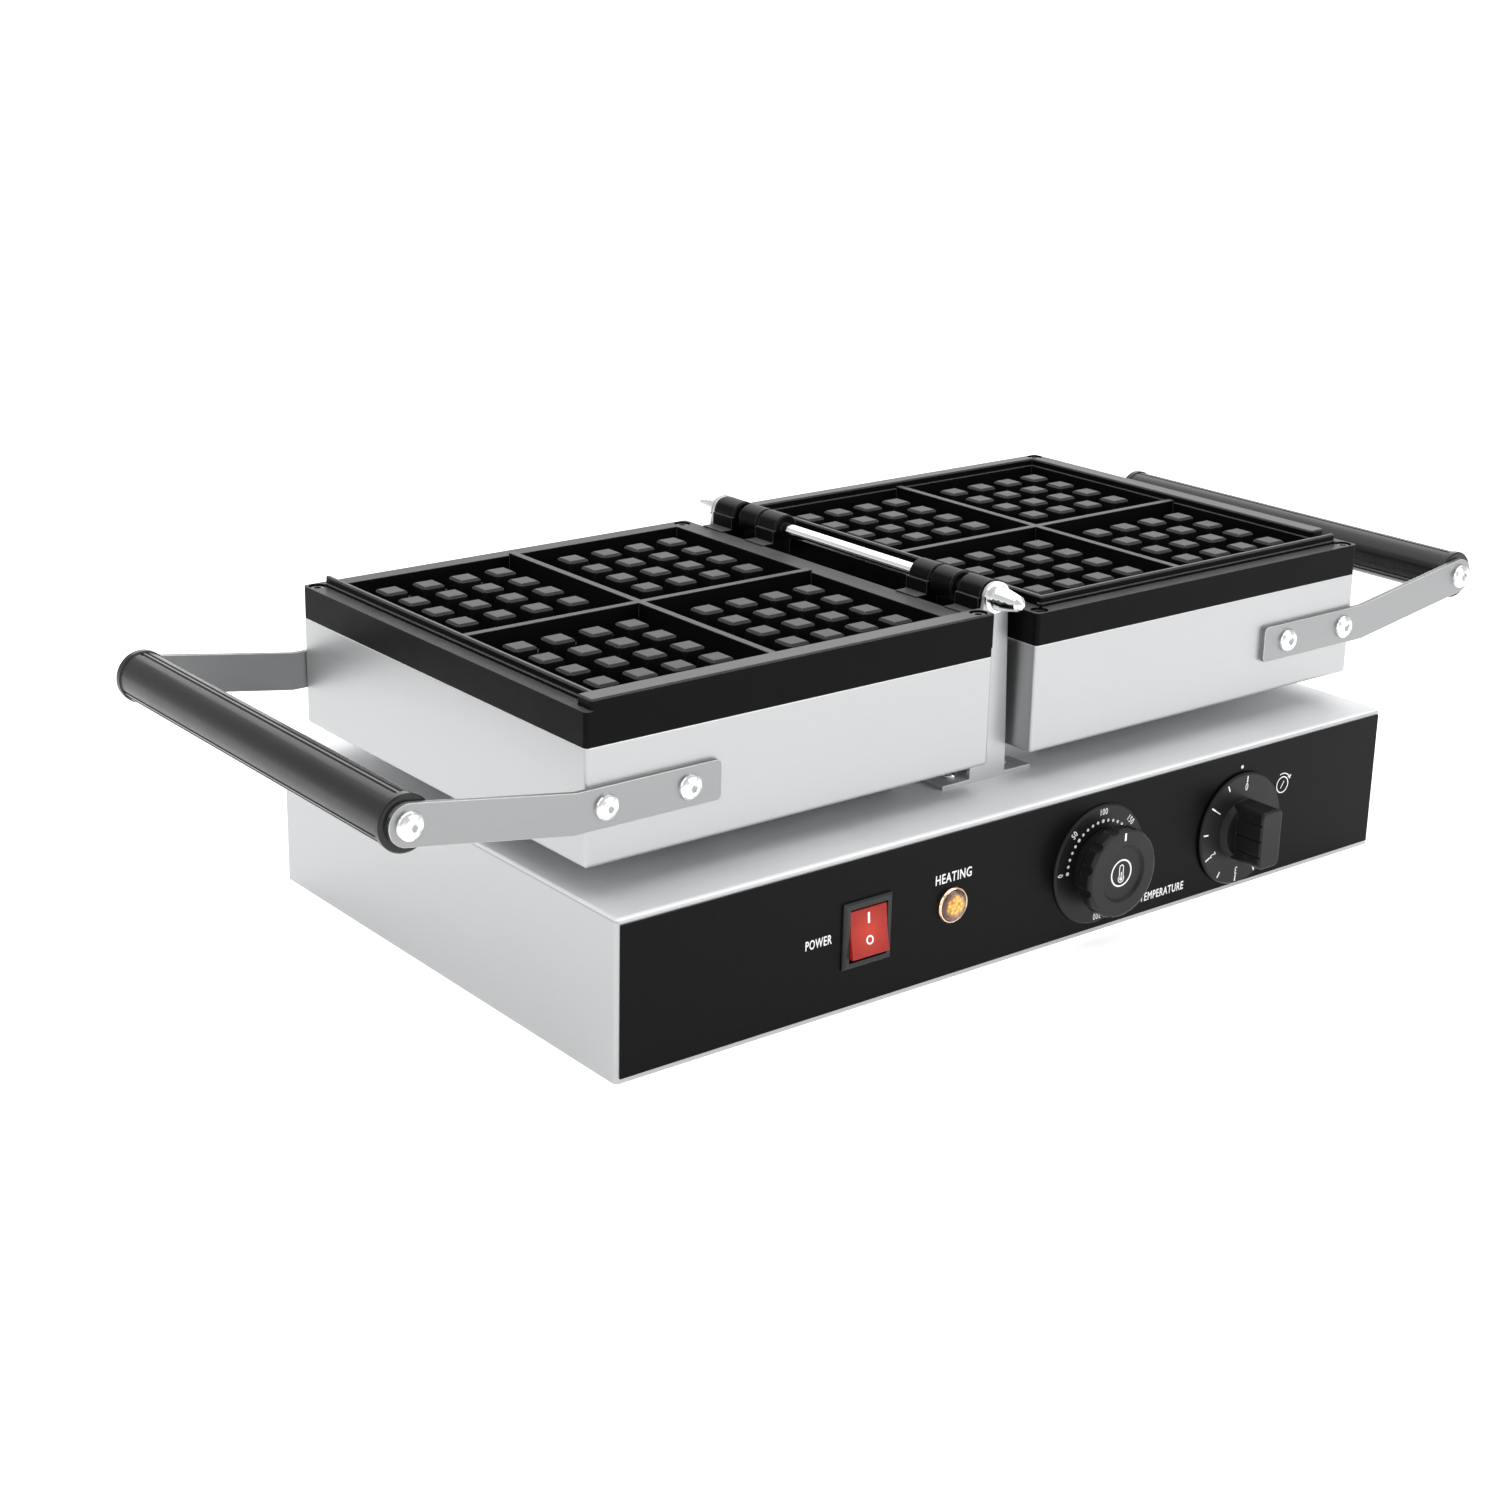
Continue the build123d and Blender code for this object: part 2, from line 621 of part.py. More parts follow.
def make_knuckles(side, ranges):
    """Hinge knuckles of one plate, at the front and the back, with the foot that joins them to it."""
    foot = Pos(side * 10.5, HINGE_HEIGHT - 14.0) * Rectangle(15.0, 13.0)
    cheek = Pos(side * 3.5, HINGE_HEIGHT - 10.0) * Rectangle(13.5, 20.0)
    sketch = foot + cheek + Pos(0, HINGE_HEIGHT) * Circle(KNUCKLE_RADIUS)
    knuckles = None
    for y0, y1 in ranges:
        for end in (-1, 1):
            piece = profile_y(sketch, end * y0, end * y1)
            piece = chamfer(piece.edges().filter_by(GeomType.CIRCLE), KNUCKLE_BEVEL)
            knuckles = piece if knuckles is None else knuckles + piece
    return knuckles


def screw_places(side):
    """Places of a plate's corner screws and the height of the surface that each sits in."""
    outer_x = side * SCREW_X_OUTER
    inner_x = side * SCREW_X_INNER
    if side < 0:
        return [
            (outer_x, SCREW_Y, LEDGE_TOP),
            (inner_x, -SCREW_Y, BAND_TOP),
            (inner_x, SCREW_Y, LEDGE_TOP),
        ]
    return [
        (outer_x, -SCREW_Y, LEDGE_TOP),
        (outer_x, SCREW_Y, RIM_TOP),
        (inner_x, -SCREW_Y, LEDGE_TOP),
        (inner_x, SCREW_Y, LEDGE_TOP),
    ]


def raised_part(x0, x1, y0, y1, top, corner):
    """A raised stretch of a plate's rim with rounded corners and an eased top edge."""
    raised = block(x0, x1, y0, y1, PLATE_BOTTOM + 5, top)
    raised = fillet(raised.edges().filter_by(Axis.Z), corner)
    return chamfer(raised.faces().sort_by(Axis.Z)[-1].edges(), 0.8)


def make_left_rim(low_x, low_y):
    """A broad band along the front of the left plate and a narrow rail along its outer side."""
    rim = raised_part(-HEAD_OUTER + 3.5, -HEAD_INNER, HEAD_FRONT, low_y, BAND_TOP, 1.5)
    rim += raised_part(low_x - RAIL, low_x, low_y - 2, HEAD_BACK - 8.0, BAND_TOP, 1.5)
    foot = block(low_x - RAIL - 1.2, low_x, low_y - 2, HEAD_BACK - 6.8, PLATE_BOTTOM + 5, LEDGE_TOP + 2)
    rim += fillet(foot.edges().filter_by(Axis.Z), 2.0)
    return rim


def make_right_rim(low_x, high_x, low_y, high_y):
    """A rail round the front and the hinge side of the right plate, and a lip round its outer sides."""
    front = low_y - RAIL
    rim = raised_part(low_x - RAIL, high_x + RAIL, front, low_y, BAND_TOP, 1.5)
    rim += raised_part(low_x - RAIL, low_x, front, HEAD_BACK - 2.0, BAND_TOP, 1.5)
    foot = block(low_x - RAIL - 1.2, high_x + RAIL + 1.2, front - 1.2, low_y, PLATE_BOTTOM + 5, LEDGE_TOP + 2)
    rim += fillet(foot.edges().filter_by(Axis.Z), 2.0)
    rim += raised_part(high_x + 1.2, HEAD_OUTER, HEAD_FRONT + 26.0, HEAD_BACK, RIM_TOP, 2.5)
    rim += raised_part(low_x - RAIL, HEAD_OUTER, high_y + 1.2, HEAD_BACK, RIM_TOP, 2.5)
    return rim


def make_plate(side, peg_field):
    """Black cast plate of one head: four fields of pegs, ribs between them, and a stepped rim."""
    body = block(side * HEAD_INNER, side * HEAD_OUTER, HEAD_FRONT, HEAD_BACK, PLATE_BOTTOM, LEDGE_TOP)
    body = fillet(body.edges().filter_by(Axis.Z), 2.5)
    centre = side * FIELD_CENTRE_X
    half_w = FIELD_W + RIB / 2
    half_d = FIELD_D + RIB / 2
    low_x = centre - half_w
    high_x = centre + half_w
    low_y = FIELD_CENTRE_Y - half_d
    high_y = FIELD_CENTRE_Y + half_d
    body -= block(low_x, high_x, low_y, high_y, FIELD_FLOOR, LEDGE_TOP + 1)
    if side < 0:
        plate = body + make_left_rim(low_x, low_y)
    else:
        plate = body + make_right_rim(low_x, high_x, low_y, high_y)
    rib_x = centre - RIB / 2
    rib_y = FIELD_CENTRE_Y - RIB / 2
    plate += block(rib_x, rib_x + RIB, low_y - 0.5, high_y + 0.5, FIELD_FLOOR - 1, RIB_TOP)
    plate += block(low_x - 0.5, high_x + 0.5, rib_y, rib_y + RIB, FIELD_FLOOR - 1, RIB_TOP)
    for sx in (-1, 1):
        for sy in (-1, 1):
            x = centre + sx * (FIELD_W + RIB) / 2
            y = FIELD_CENTRE_Y + sy * (FIELD_D + RIB) / 2
            plate += Pos(x, y, 0) * peg_field
    ranges = [OUTER_KNUCKLE, INNER_KNUCKLE] if side < 0 else [MIDDLE_KNUCKLE]
    plate += make_knuckles(side, ranges)
    plate -= along_y(0, -130, 130, HINGE_HEIGHT, ROD_RADIUS + RUNNING_GAP)
    for x, y, top in screw_places(side):
        plate -= upright(x, y, top - 4.0, top + 8, 5.2)
        plate -= upright(x, y, PLATE_BOTTOM - 1, top, 2.6)
    return plate


def make_plate_screws(side):
    """Socket screws in the plate's corner recesses, down through the tray's lip."""
    screws = []
    for x, y, top in screw_places(side):
        head_bottom = top - 4.0
        head = upright(x, y, head_bottom, head_bottom + 3.0, 4.6)
        head = fillet(head.edges().sort_by(Axis.Z)[-1], 0.8)
        head -= Pos(x, y, head_bottom + 1.2) * extrude(RegularPolygon(2.3, 6), amount=4)
        screws.append(head + upright(x, y, PLATE_BOTTOM - 8.0, head_bottom, 2.5))
    return screws


def make_plate_nuts(side):
    """Nuts of the plate screws, under the tray's lip."""
    top = PLATE_BOTTOM - SHEET
    return [hex_prism_z(x, y, top - 4.0, top, 8.0, 2.55) for x, y, _ in screw_places(side)]


ARM_INNER_END = 208.0
ARM_SCREW_X = (228.5, 280.5)
ARM_BEND_X = 299.0
ARM_HOLE = 3.1


def make_shell(side):
    """Stainless tray under the plate: closed below, with a lip turned in at the top."""
    inner = side * HEAD_INNER
    outer = side * HEAD_OUTER
    lip = 15.0
    tray = block(inner, outer, HEAD_FRONT, HEAD_BACK, SHELL_BOTTOM, PLATE_BOTTOM)
    tray = fillet(tray.edges().filter_by(Axis.Z) + tray.faces().sort_by(Axis.Z)[0].edges(), 2.0)
    tray -= block(
        inner + side * SHEET, outer - side * SHEET, HEAD_FRONT + SHEET, HEAD_BACK - SHEET,
        SHELL_BOTTOM + SHEET, PLATE_BOTTOM - SHEET,
    )
    tray -= block(
        inner + side * lip, outer - side * lip, HEAD_FRONT + lip, HEAD_BACK - lip,
        PLATE_BOTTOM - 3, PLATE_BOTTOM + 1,
    )
    for x, y, _ in screw_places(side):
        tray -= upright(x, y, PLATE_BOTTOM - 3, PLATE_BOTTOM + 1, 2.7)
    for x in ARM_SCREW_X:
        for end in (-1, 1):
            tray -= along_y(side * x, end * (HEAD_BACK - 3), end * (HEAD_BACK + 1), ARM_HEIGHT, ARM_HOLE)
    return tray


def element_path(side):
    """Flat serpentine of the tubular heater, with both ends towards the hinge."""
    near = side * 40.0
    far = side * 262.0
    rows = (-105.0, -45.0, 45.0, 105.0)
    points = [(near, rows[0]), (far, rows[0]), (far, rows[1]), (near + side * 30, rows[1])]
    points += [(near + side * 30, rows[2]), (far, rows[2]), (far, rows[3]), (near, rows[3])]
    return FilletPolyline(*points, radius=22.0)


def make_element(side):
    """Tubular heating element pressed against the underside of the plate."""
    radius = 4.0
    path = Pos(0, 0, PLATE_BOTTOM - radius - 0.1) * element_path(side)
    start = Plane(origin=path @ 0, z_dir=path % 0)
    return sweep(start * Circle(radius), path=path)


def make_clamp_plate(side):
    """Steel sheet that clamps the heating element up to the plate."""
    top = PLATE_BOTTOM - 8.2
    return block(side * 34.0, side * 274.0, -120.0, 120.0, top - 1.5, top)


def make_insulation(side):
    """Mineral wool slab between the clamp plate and the bottom of the tray."""
    top = PLATE_BOTTOM - 10.0
    return block(side * 22.0, side * 286.0, -130.0, 130.0, SHELL_BOTTOM + SHEET, top)


def make_arm(side, end):
    """Flat arm on the end face of a tray, level along the tray and then rising to the grip."""
    rise = math.atan2(GRIP_HEIGHT - ARM_HEIGHT, GRIP_X - ARM_BEND_X)
    length = math.hypot(GRIP_HEIGHT - ARM_HEIGHT, GRIP_X - ARM_BEND_X)
    level = ARM_BEND_X - ARM_INNER_END
    sketch = Pos(ARM_INNER_END + level / 2, ARM_HEIGHT) * RectangleRounded(level, 2 * ARM_HALF, 3.0)
    sketch += Pos(ARM_BEND_X - 5.0, ARM_HEIGHT) * Rectangle(10.0, 2 * ARM_HALF)
    sketch += Pos(ARM_BEND_X, ARM_HEIGHT) * Circle(ARM_HALF)
    middle = Pos((ARM_BEND_X + GRIP_X) / 2, (ARM_HEIGHT + GRIP_HEIGHT) / 2)
    sketch += middle * Rot(0, 0, math.degrees(rise)) * Rectangle(length, 2 * ARM_HALF)
    sketch += Pos(GRIP_X, GRIP_HEIGHT) * Circle(ARM_HALF)
    arm = profile_y(sketch, end * HEAD_BACK, end * (HEAD_BACK + ARM_THICK))
    for x in ARM_SCREW_X:
        arm -= along_y(x, end * (HEAD_BACK - 1), end * (HEAD_BACK + 5), ARM_HEIGHT, ARM_HOLE)
    arm -= along_y(GRIP_X, end * (HEAD_BACK - 1), end * (HEAD_BACK + 5), GRIP_HEIGHT, 4.1)
    return arm if side > 0 else mirror(arm, about=Plane.YZ)


def button_screw(x, z, end, head_radius, head_height, shank_radius, shank_end):
    """Round-head socket screw along Y, its head against the outer face of an arm."""
    seat = end * (HEAD_BACK + ARM_THICK)
    outline = [(0, 0), (head_radius, 0), (head_radius, head_height * 0.3)]
    steps = 5
    for step in range(1, steps + 1):
        angle = math.radians(90 * step / steps)
        radius = head_radius * math.cos(angle)
        outline.append((radius, head_height * (0.3 + 0.7 * math.sin(angle))))
    head = turned(outline, x, seat, z, front=end < 0)
    socket = Plane(
        origin=(x, seat + end * head_height * 0.45, z), x_dir=(1, 0, 0), z_dir=(0, end, 0)
    )
    head -= extrude(socket * RegularPolygon(head_radius * 0.36, 6), amount=head_height)
    return head + along_y(x, end * shank_end, seat, z, shank_radius)


def make_arm_screws(side):
    """The four button-head screws that hold both arms to the tray."""
    screws = []
    for end in (-1, 1):
        for x in ARM_SCREW_X:
            screws.append(button_screw(side * x, ARM_HEIGHT, end, 7.2, 3.8, 3.0, HEAD_BACK - 9.0))
    return screws


def make_arm_nuts(side):
    """Nuts of the arm screws, inside the tray."""
    nuts = []
    for end in (-1, 1):
        for x in ARM_SCREW_X:
            y = end * (HEAD_BACK - SHEET)
            plane = Plane(origin=(side * x, y, ARM_HEIGHT), x_dir=(1, 0, 0), z_dir=(0, -end, 0))
            nut = extrude(plane * RegularPolygon(5.0, 6, major_radius=False), amount=5.0)
            nuts.append(nut - along_y(side * x, y + end, y - end * 6, ARM_HEIGHT, 3.05))
    return nuts


def make_grip(side):
    """Black handle bar with three pairs of grooves along it and a collar at each end."""
    groove_radius = 0.9
    pair_spread = 6.5
    section = Circle(GRIP_RADIUS)
    for third in (90.0, 210.0, 330.0):
        for offset in (-pair_spread, pair_spread):
            angle = math.radians(third + offset)
            at = Pos(GRIP_RADIUS * math.cos(angle), GRIP_RADIUS * math.sin(angle))
            section -= at * Circle(groove_radius)
    section = Pos(side * GRIP_X, GRIP_HEIGHT) * section
    grip = profile_y(section, -HEAD_BACK + 1.0, HEAD_BACK - 1.0)
    collar_length = 5.0
    for end in (-1, 1):
        collar = along_y(
            side * GRIP_X, end * (HEAD_BACK - collar_length), end * HEAD_BACK, GRIP_HEIGHT, GRIP_RADIUS + 0.8
        )
        grip += chamfer(collar.edges().filter_by(GeomType.CIRCLE), 0.8)
    return grip - along_y(side * GRIP_X, -HEAD_BACK - 1, HEAD_BACK + 1, GRIP_HEIGHT, 5.1)


def make_grip_rod(side):
    """Steel rod inside the grip, tapped at both ends for the end screws."""
    rod = along_y(side * GRIP_X, -HEAD_BACK, HEAD_BACK, GRIP_HEIGHT, 5.0)
    for end in (-1, 1):
        rod -= along_y(side * GRIP_X, end * (HEAD_BACK + 1), end * (HEAD_BACK - 18.0), GRIP_HEIGHT, 3.05)
    return rod


def make_grip_screws(side):
    """Round-head screws that hold the grip between the two arms."""
    return [
        button_screw(side * GRIP_X, GRIP_HEIGHT, end, 7.6, 4.4, 3.0, HEAD_BACK - 16.0) for end in (-1, 1)
    ]


# ---------------------------------------------------------------- write every sub-part
save("base_housing", make_base_housing())
save("front_panel", make_front_panel())
save("bottom_plate", make_bottom_plate())
save("feet", make_feet())
save("foot_screws", make_foot_screws())
save("foot_nuts", make_foot_nuts())
save("bottom_screws", make_bottom_screws())
save("cable_gland", make_cable_gland())
save("gland_nut", make_gland_nut())
save("terminal_block", make_terminal_block())
save("switch_body", make_switch_body())
save("power_rocker", make_power_rocker())
save("lamp_bezel", make_lamp_bezel())
save("lamp_lens", make_lamp_lens())
save("lamp_body", make_lamp_body())
save("thermostat_dial", make_thermostat_dial())
save("thermostat_body", make_thermostat_body())
save("thermostat_shaft", make_shaft(THERMOSTAT_X, THERMOSTAT_Z))
save("thermostat_knob", make_thermostat_knob())
save("timer_body", make_timer_body())
save("timer_shaft", make_shaft(TIMER_X, TIMER_Z))
save("timer_knob", make_timer_knob())
save("bracket_front", make_bracket(-1))
save("bracket_rear", make_bracket(1))
save("bracket_screws", make_bracket_screws())
save("bracket_nuts", make_bracket_nuts())
save("rest_bar_front", make_rest_bar(-1))
save("rest_bar_rear", make_rest_bar(1))
save("hinge_rod", make_hinge_rod())
save("hinge_washers", make_hinge_washers())
save("cap_nuts", make_cap_nuts())

shared_field = make_peg_field()
for name, side in SIDES.items():
    save(name + "_shell", make_shell(side))
    save(name + "_plate", make_plate(side, shared_field))
    save(name + "_plate_screws", make_plate_screws(side))
    save(name + "_plate_nuts", make_plate_nuts(side))
    save(name + "_element", make_element(side))
    save(name + "_clamp_plate", make_clamp_plate(side))
    save(name + "_insulation", make_insulation(side))
    save(name + "_arm_front", make_arm(side, -1))
    save(name + "_arm_rear", make_arm(side, 1))
    save(name + "_arm_screws", make_arm_screws(side))
    save(name + "_arm_nuts", make_arm_nuts(side))
    save(name + "_grip", make_grip(side))
    save(name + "_grip_rod", make_grip_rod(side))
    save(name + "_grip_screws", make_grip_screws(side))
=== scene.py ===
import math

import bmesh
import bpy
from mathutils import Matrix, Vector


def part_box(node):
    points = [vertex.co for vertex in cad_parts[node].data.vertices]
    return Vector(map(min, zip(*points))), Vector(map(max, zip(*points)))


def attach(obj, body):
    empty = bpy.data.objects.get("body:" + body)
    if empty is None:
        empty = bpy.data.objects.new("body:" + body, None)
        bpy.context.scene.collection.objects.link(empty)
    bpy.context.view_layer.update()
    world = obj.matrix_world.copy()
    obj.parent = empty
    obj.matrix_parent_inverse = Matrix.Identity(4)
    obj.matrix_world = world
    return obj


# Looks of the double waffle maker: finishes for the CAD nodes, the printed and moulded marks on the
# controls, and the studio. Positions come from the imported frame. Scene units are metres; sizes that are
# given in millimetres are multiplied by MM.

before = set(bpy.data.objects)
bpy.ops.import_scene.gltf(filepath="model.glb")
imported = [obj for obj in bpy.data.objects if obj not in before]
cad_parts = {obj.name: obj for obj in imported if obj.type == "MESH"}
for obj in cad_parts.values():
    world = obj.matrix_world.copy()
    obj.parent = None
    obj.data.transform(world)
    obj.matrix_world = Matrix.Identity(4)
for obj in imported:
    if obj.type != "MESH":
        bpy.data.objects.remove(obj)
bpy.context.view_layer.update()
MM = 0.001


# ---------------------------------------------------------------- places
def centre_of(node):
    """Middle of a CAD node in millimetres."""
    low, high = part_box(node)
    return (low + high) / 2 / MM


def face_at(node, x, z):
    """Point of a node's front face at this place, in millimetres, and how far its top leans back."""
    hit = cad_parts[node].ray_cast(Vector((x, -1000.0, z)) * MM, Vector((0, 1, 0)))
    place, normal = hit[1], hit[2]
    return place / MM, math.degrees(math.asin(normal.z))


PANEL_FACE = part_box("front_panel")[0].y / MM
SWITCH = centre_of("power_rocker")
LAMP = centre_of("lamp_bezel")
THERMOSTAT = centre_of("thermostat_dial")
TIMER = centre_of("timer_shaft")
PLATE_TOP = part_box("left_plate")[1].z / MM


# ---------------------------------------------------------------- shader helpers
class Shader:
    """One procedural material: a Principled shader and short calls that add what drives it."""

    def __init__(self, name, **constants):
        self.material = bpy.data.materials.new(name)
        self.material.use_nodes = True
        self.tree = self.material.node_tree
        self.surface = self.tree.nodes["Principled BSDF"]
        for socket, value in constants.items():
            self.surface.inputs[socket.replace("_", " ")].default_value = value
        coordinates = self.add("ShaderNodeTexCoord")
        self.place = coordinates.outputs["Object"]
        self.facing = coordinates.outputs["Normal"]

    def add(self, kind, **values):
        node = self.tree.nodes.new(kind)
        for key, value in values.items():
            setattr(node, key, value)
        return node

    def link(self, source, socket):
        self.tree.links.new(source, socket)

    def drive(self, socket, source):
        self.link(source, self.surface.inputs[socket])

    def stretched(self, scale):
        """Object coordinates scaled by a different number along each axis."""
        mapping = self.add("ShaderNodeMapping")
        mapping.inputs["Scale"].default_value = scale
        self.link(self.place, mapping.inputs["Vector"])
        return mapping.outputs["Vector"]

    def noise(self, scale, detail=3.0, roughness=0.55, stretch=(1.0, 1.0, 1.0)):
        """Noise from 0 to 1; scale is in features per metre before stretching."""
        node = self.add("ShaderNodeTexNoise")
        node.inputs["Scale"].default_value = scale
        node.inputs["Detail"].default_value = detail
        node.inputs["Roughness"].default_value = roughness
        self.link(self.stretched(stretch), node.inputs["Vector"])
        return node.outputs["Fac"]

    def cells(self, scale):
        """Distance to the middle of the nearest Voronoi cell; scale is in cells per metre."""
        node = self.add("ShaderNodeTexVoronoi")
        node.inputs["Scale"].default_value = scale
        self.link(self.place, node.inputs["Vector"])
        return node.outputs["Distance"]

    def between(self, factor, low, high, start=0.3, end=0.7):
        """A number that goes from low to high as factor goes from start to end."""
        node = self.add("ShaderNodeMapRange")
        node.inputs["From Min"].default_value = start
        node.inputs["From Max"].default_value = end
        node.inputs["To Min"].default_value = low
        node.inputs["To Max"].default_value = high
        self.link(factor, node.inputs["Value"])
        return node.outputs["Result"]

    def math(self, operation, first, second):
        """Arithmetic on two sockets, or on a socket and a number."""
        node = self.add("ShaderNodeMath", operation=operation)
        for socket, value in zip(node.inputs, (first, second)):
            if isinstance(value, (int, float)):
                socket.default_value = value
            else:
                self.link(value, socket)
        return node.outputs["Value"]

    def mixed(self, factor, first, second):
        """A colour between two others, each a socket or three numbers."""
        node = self.add("ShaderNodeMix", data_type="RGBA")
        for socket, colour in (("A", first), ("B", second)):
            if isinstance(colour, tuple):
                node.inputs[socket].default_value = (*colour, 1.0)
            else:
                self.link(colour, node.inputs[socket])
        self.link(factor, node.inputs["Factor"])
        return node.outputs["Result"]

    def bump(self, height, distance, under=None):
        """A bumped normal; distance is the height in metres of a change from 0 to 1."""
        node = self.add("ShaderNodeBump")
        node.inputs["Strength"].default_value = 1.0
        node.inputs["Distance"].default_value = distance
        self.link(height, node.inputs["Height"])
        if under is not None:
            self.link(under, node.inputs["Normal"])
        return node.outputs["Normal"]

    def nearness(self, point, near, far):
        """1 within this distance of a point of the front, in millimetres, and 0 beyond the other."""
        node = self.add("ShaderNodeVectorMath", operation="DISTANCE")
        self.link(self.stretched((1.0, 0.0, 1.0)), node.inputs[0])
        node.inputs[1].default_value = (point.x * MM, 0.0, point.z * MM)
        return self.between(node.outputs["Value"], 1.0, 0.0, near * MM, far * MM)

    def facing_up(self):
        """1 on level faces that look up, and 0 on the others."""
        node = self.add("ShaderNodeSeparateXYZ")
        self.link(self.facing, node.inputs["Vector"])
        return self.between(node.outputs["Z"], 0.0, 1.0, 0.6, 0.9)

    def height(self):
        """Height above the table in metres, with the part at rest."""
        node = self.add("ShaderNodeSeparateXYZ")
        self.link(self.place, node.inputs["Vector"])
        return node.outputs["Z"]

    def soft_edges(self, radius):
        """A normal that rounds edges by this radius, in metres."""
        node = self.add("ShaderNodeBevel", samples=4)
        node.inputs["Radius"].default_value = radius
        return node.outputs["Normal"]

    def edge_wear(self, soft_normal):
        """1 along edges and 0 on flat faces, from the difference between soft and true normals; it marks
        where edge highlights are painted.
        """
        geometry = self.add("ShaderNodeNewGeometry")
        dot = self.add("ShaderNodeVectorMath", operation="DOT_PRODUCT")
        self.link(soft_normal, dot.inputs[0])
        self.link(geometry.outputs["Normal"], dot.inputs[1])
        return self.between(dot.outputs["Value"], 1.0, 0.0, start=0.86, end=0.995)


def grey(value, tint=0.0):
    """A neutral colour; a positive tint makes it slightly cooler."""
    return (value * (1 - tint), value, value * (1 + tint))


def sheet_metal(name, value, roughness, grain, edge=0.0006, level_sheen_gain=1.0):
    """Satin sheet steel: fine brushing along X on level faces and along the horizon on upright ones.

    Level faces are duller, and a gain paints them paler: a painted sheen. Folded edges are painted brighter:
    a painted highlight."""
    tint = 0.01
    shader = Shader(name, Metallic=1.0)
    upright_grain = shader.noise(1.0, 4.0, 0.6, (14.0, 14.0, 2600.0))
    level_grain = shader.noise(1.0, 4.0, 0.6, (14.0, 2600.0, 14.0))
    split = shader.add("ShaderNodeSeparateXYZ")
    shader.link(shader.facing, split.inputs["Vector"])
    level = shader.math("GREATER_THAN", shader.math("ABSOLUTE", split.outputs["Z"], 0.0), 0.5)
    blend = shader.add("ShaderNodeMix", data_type="FLOAT")
    shader.link(level, blend.inputs["Factor"])
    shader.link(upright_grain, blend.inputs["A"])
    shader.link(level_grain, blend.inputs["B"])
    brushing = blend.outputs["Result"]
    smears = shader.noise(9.0, 4.0, 0.6)
    streaks = shader.math("ADD", brushing, shader.math("MULTIPLY", smears, 0.8))
    spread = shader.between(streaks, roughness - 0.05, roughness + 0.06, 0.6, 1.2)
    level_dulling = shader.math("MULTIPLY", level, 0.28)
    shader.drive("Roughness", shader.math("ADD", spread, level_dulling))
    tone = shader.math("ADD", shader.math("MULTIPLY", brushing, 0.5), shader.math("MULTIPLY", smears, 0.5))
    tone = shader.between(tone, 0.0, 1.0, 0.35, 0.65)
    upright_colour = shader.mixed(tone, grey(value * 0.95, tint), grey(value * 1.03, tint))
    # Level faces are painted paler by the gain: a painted sheen on the tops.
    gain = value * level_sheen_gain
    level_colour = shader.mixed(tone, grey(gain * 0.95, tint), grey(gain * 1.03, tint))
    soft = shader.soft_edges(edge)
    face_colour = shader.mixed(level, upright_colour, level_colour)
    # Folded edges are painted near white along the edge mask: a painted highlight.
    shader.drive("Base Color", shader.mixed(shader.edge_wear(soft), face_colour, grey(0.92)))
    shader.drive("Normal", shader.bump(brushing, grain, soft))
    return shader.material


def polished_metal(name, colour, roughness):
    """Bright plated steel with faint swirls and small dulled spots."""
    shader = Shader(name, Metallic=1.0)
    haze = shader.noise(260.0, 4.0, 0.65)
    shader.drive("Roughness", shader.between(haze, roughness * 0.6, roughness * 1.6))
    shader.drive("Base Color", shader.mixed(haze, tuple(0.93 * c for c in colour), colour))
    soft = shader.soft_edges(0.00025)
    shader.drive("Normal", shader.bump(shader.noise(1400.0, 2.0), 0.000006, soft))
    return shader.material


def galvanised(name, value):
    """Zinc-coated inner steel with a pattern of crystals."""
    shader = Shader(name, Metallic=1.0)
    crystals = shader.cells(160.0)
    shader.drive("Roughness", shader.between(crystals, 0.32, 0.5, 0.1, 0.8))
    shader.drive("Base Color", shader.mixed(crystals, grey(value * 0.82, 0.02), grey(value * 1.1, 0.02)))
    shader.drive("Normal", shader.bump(shader.noise(700.0), 0.00001))
    return shader.material


def cast_plate(name):
    """Cast aluminium under a black non-stick coat: matt walls, a painted grey sheen on the tops, painted
    highlights on the edges.
    """
    shader = Shader(name, Metallic=0.0, Specular_IOR_Level=0.05)
    soft = shader.soft_edges(0.0007)
    edge_glint = shader.edge_wear(soft)
    patches = shader.noise(38.0, 4.0, 0.6)
    specks = shader.noise(900.0, 3.0, 0.7)
    mottle = shader.math("ADD", shader.math("MULTIPLY", patches, 0.5), shader.math("MULTIPLY", specks, 0.5))
    # Level faces get a painted sheen, paler from the pegs up to the rims, and the hinge knuckles above stay
    # dark.
    height = shader.height()
    rise = shader.between(height, 0.55, 1.0, (PLATE_TOP - 18.0) * MM, (PLATE_TOP - 11.5) * MM)
    knuckle = shader.between(height, 1.0, 0.30, (PLATE_TOP - 11.0) * MM, (PLATE_TOP - 10.0) * MM)
    top = shader.math("MULTIPLY", shader.facing_up(), shader.math("MULTIPLY", rise, knuckle))
    painted_top_sheen = shader.math("MULTIPLY", top, shader.between(mottle, 0.72, 1.0, 0.38, 0.62))
    black = shader.mixed(painted_top_sheen, grey(0.0035), grey(0.15))
    # Edges get a speckled painted highlight, lighter grey than the coat.
    painted_edge_glint = shader.math("MULTIPLY", edge_glint, shader.between(specks, 0.35, 0.9, 0.4, 0.6))
    shader.drive("Base Color", shader.mixed(painted_edge_glint, black, grey(0.17)))
    shader.drive("Roughness", shader.between(mottle, 0.34, 0.46, 0.38, 0.62))
    peel = shader.noise(1500.0, 3.0, 0.6)
    shader.drive("Normal", shader.bump(peel, 0.00002, soft))
    return shader.material


